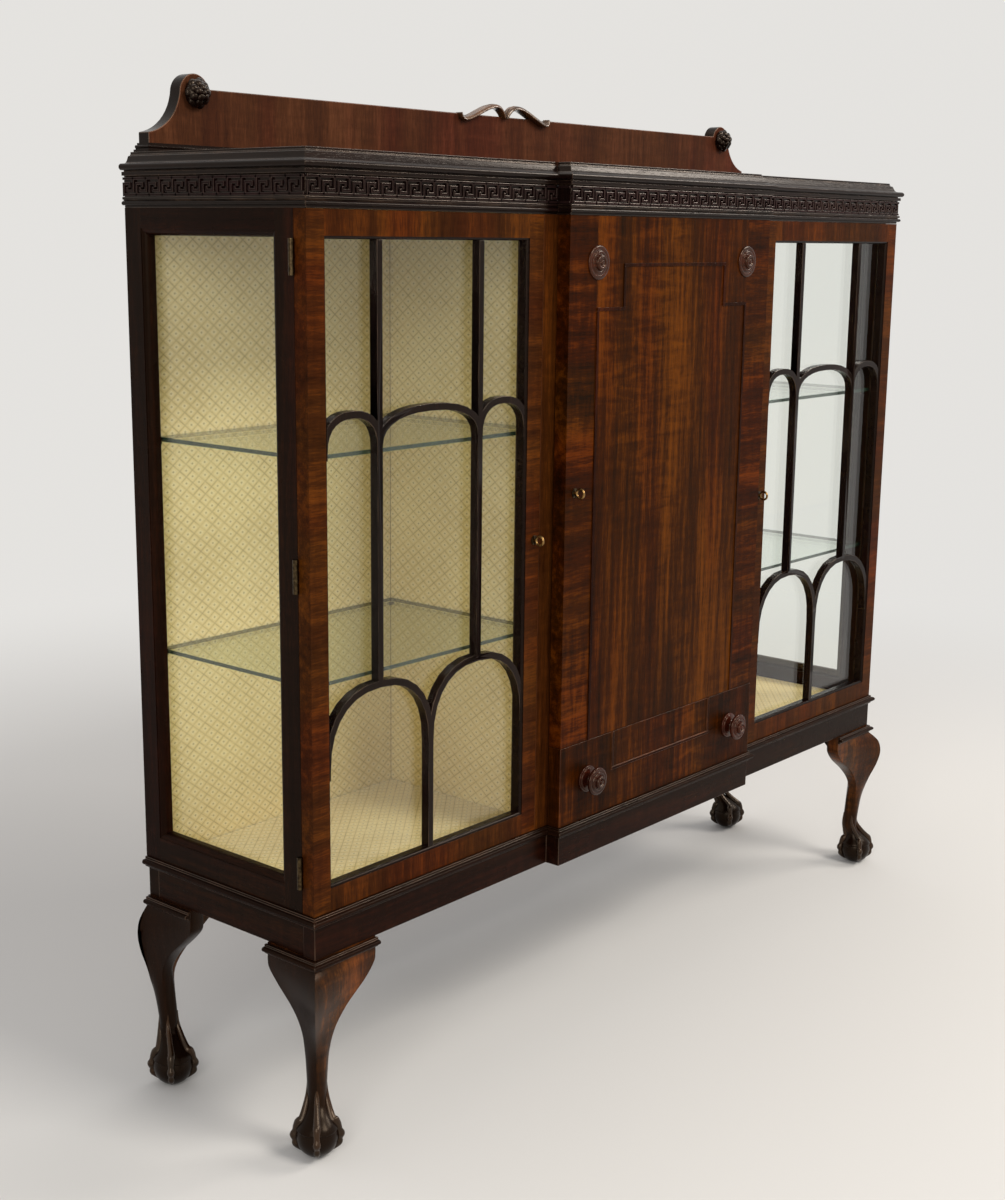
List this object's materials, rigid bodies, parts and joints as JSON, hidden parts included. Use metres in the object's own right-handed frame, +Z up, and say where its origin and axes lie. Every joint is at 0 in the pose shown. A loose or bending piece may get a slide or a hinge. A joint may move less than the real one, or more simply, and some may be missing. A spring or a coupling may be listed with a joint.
{
  "type": "china cabinet with glass doors",
  "caption": "Mahogany breakfront display cabinet on claw-and-ball feet, with arched glazed doors, a panelled centre door over a drawer, glass shelves and a scrolled gallery.",
  "frame": {"origin": "on the floor, midway between the sides and midway between the drawer knobs' fronts and the rear plane", "axes": "+X to the right seen from the front, the front faces -Y, +Z up"},
  "size_m": [1.4136, 0.367, 1.3045],
  "materials": {
    "mahogany": "french polished",
    "dark_mahogany": "french polished",
    "plain_wood": "satin",
    "pale_cloth": "woven",
    "pane_glass": "clear",
    "brass": "aged"
  },
  "bodies": {
    "case": {"front_apron": "mahogany", "side_aprons": "dark_mahogany", "back_apron": "dark_mahogany", "corner_blocks": "plain_wood", "front_left_leg": "mahogany", "front_right_leg": "mahogany", "rear_left_leg": "dark_mahogany", "rear_right_leg": "dark_mahogany", "leg_capitals": "mahogany", "waist_moulding": "mahogany", "floor_board": "plain_wood", "left_side_frame": "dark_mahogany", "right_side_frame": "dark_mahogany", "side_glass": "pane_glass", "side_glass_beads": "dark_mahogany", "partitions": "plain_wood", "posts": "mahogany", "back_panel": "plain_wood", "drawer_divider": "plain_wood", "drawer_runners": "plain_wood", "ceiling_board": "plain_wood", "frieze_board": "mahogany", "frieze_bead": "dark_mahogany", "cornice": "dark_mahogany", "top_board": "mahogany", "gallery_board": "mahogany", "gallery_moulding": "dark_mahogany", "gallery_carvings": "dark_mahogany", "left_lining": "pale_cloth", "right_lining": "pale_cloth", "glass_shelves": "pane_glass", "wooden_shelves": "plain_wood", "shelf_pegs": "brass", "case_hinge_leaves": "brass"},
    "left_door": {"left_door_frame": "mahogany", "left_door_bars": "dark_mahogany", "left_door_glass": "pane_glass", "left_door_beads": "dark_mahogany", "left_door_leaves": "brass", "left_lock": "brass"},
    "right_door": {"right_door_frame": "mahogany", "right_door_bars": "dark_mahogany", "right_door_glass": "pane_glass", "right_door_beads": "dark_mahogany", "right_door_leaves": "brass", "right_lock": "brass"},
    "panel_door": {"centre_door": "mahogany", "door_roundels": "dark_mahogany", "centre_door_leaves": "brass", "centre_lock": "brass"},
    "drawer": {"drawer_front": "mahogany", "drawer_box": "plain_wood", "drawer_bottom": "plain_wood", "drawer_knobs": "dark_mahogany"},
    "left_turnkey": {"left_key": "brass"},
    "right_turnkey": {"right_key": "brass"},
    "centre_turnkey": {"centre_key": "brass"},
    "left_lock_bolt": {"left_bolt": "brass"},
    "right_lock_bolt": {"right_bolt": "brass"},
    "centre_lock_bolt": {"centre_bolt": "brass"}
  },
  "joints": [
    {"name": "left_door_hinge", "type": "hinge", "parent": "case", "child": "left_door", "pos_m": [-0.6888, -0.1132, 0.728], "axis": [0, 0, -1], "range_deg": [0, 170]},
    {"name": "right_door_hinge", "type": "hinge", "parent": "case", "child": "right_door", "pos_m": [0.6888, -0.1132, 0.728], "axis": [0, 0, 1], "range_deg": [0, 170]},
    {"name": "centre_door_hinge", "type": "hinge", "parent": "case", "child": "panel_door", "pos_m": [0.246, -0.1375, 0.785], "axis": [0, 0, 1], "range_deg": [0, 105]},
    {"name": "drawer_slide", "type": "slide", "parent": "case", "child": "drawer", "axis": [0, -1, 0], "range_m": [0, 0.22]},
    {"name": "left_key_turn", "type": "hinge", "parent": "left_door", "child": "left_turnkey", "pos_m": [-0.2791, -0.1235, 0.721], "axis": [0, 1, 0], "range_deg": [0, 180]},
    {"name": "left_bolt_slide", "type": "slide", "parent": "left_door", "child": "left_lock_bolt", "axis": [1, 0, 0], "range_m": [0, 0.008]},
    {"name": "right_key_turn", "type": "hinge", "parent": "right_door", "child": "right_turnkey", "pos_m": [0.2791, -0.1235, 0.721], "axis": [0, 1, 0], "range_deg": [0, 180]},
    {"name": "right_bolt_slide", "type": "slide", "parent": "right_door", "child": "right_lock_bolt", "axis": [-1, 0, 0], "range_m": [0, 0.008]},
    {"name": "centre_key_turn", "type": "hinge", "parent": "panel_door", "child": "centre_turnkey", "pos_m": [-0.222, -0.1355, 0.78], "axis": [0, 1, 0], "range_deg": [0, 180]},
    {"name": "centre_bolt_slide", "type": "slide", "parent": "panel_door", "child": "centre_lock_bolt", "axis": [-1, 0, 0], "range_m": [0, 0.008]}
  ],
  "couplings": [
    {"joint": "left_key_turn", "follows": "left_bolt_slide", "rad_per_m": 392.6},
    {"joint": "right_key_turn", "follows": "right_bolt_slide", "rad_per_m": 392.6},
    {"joint": "centre_key_turn", "follows": "centre_bolt_slide", "rad_per_m": 392.6}
  ]
}
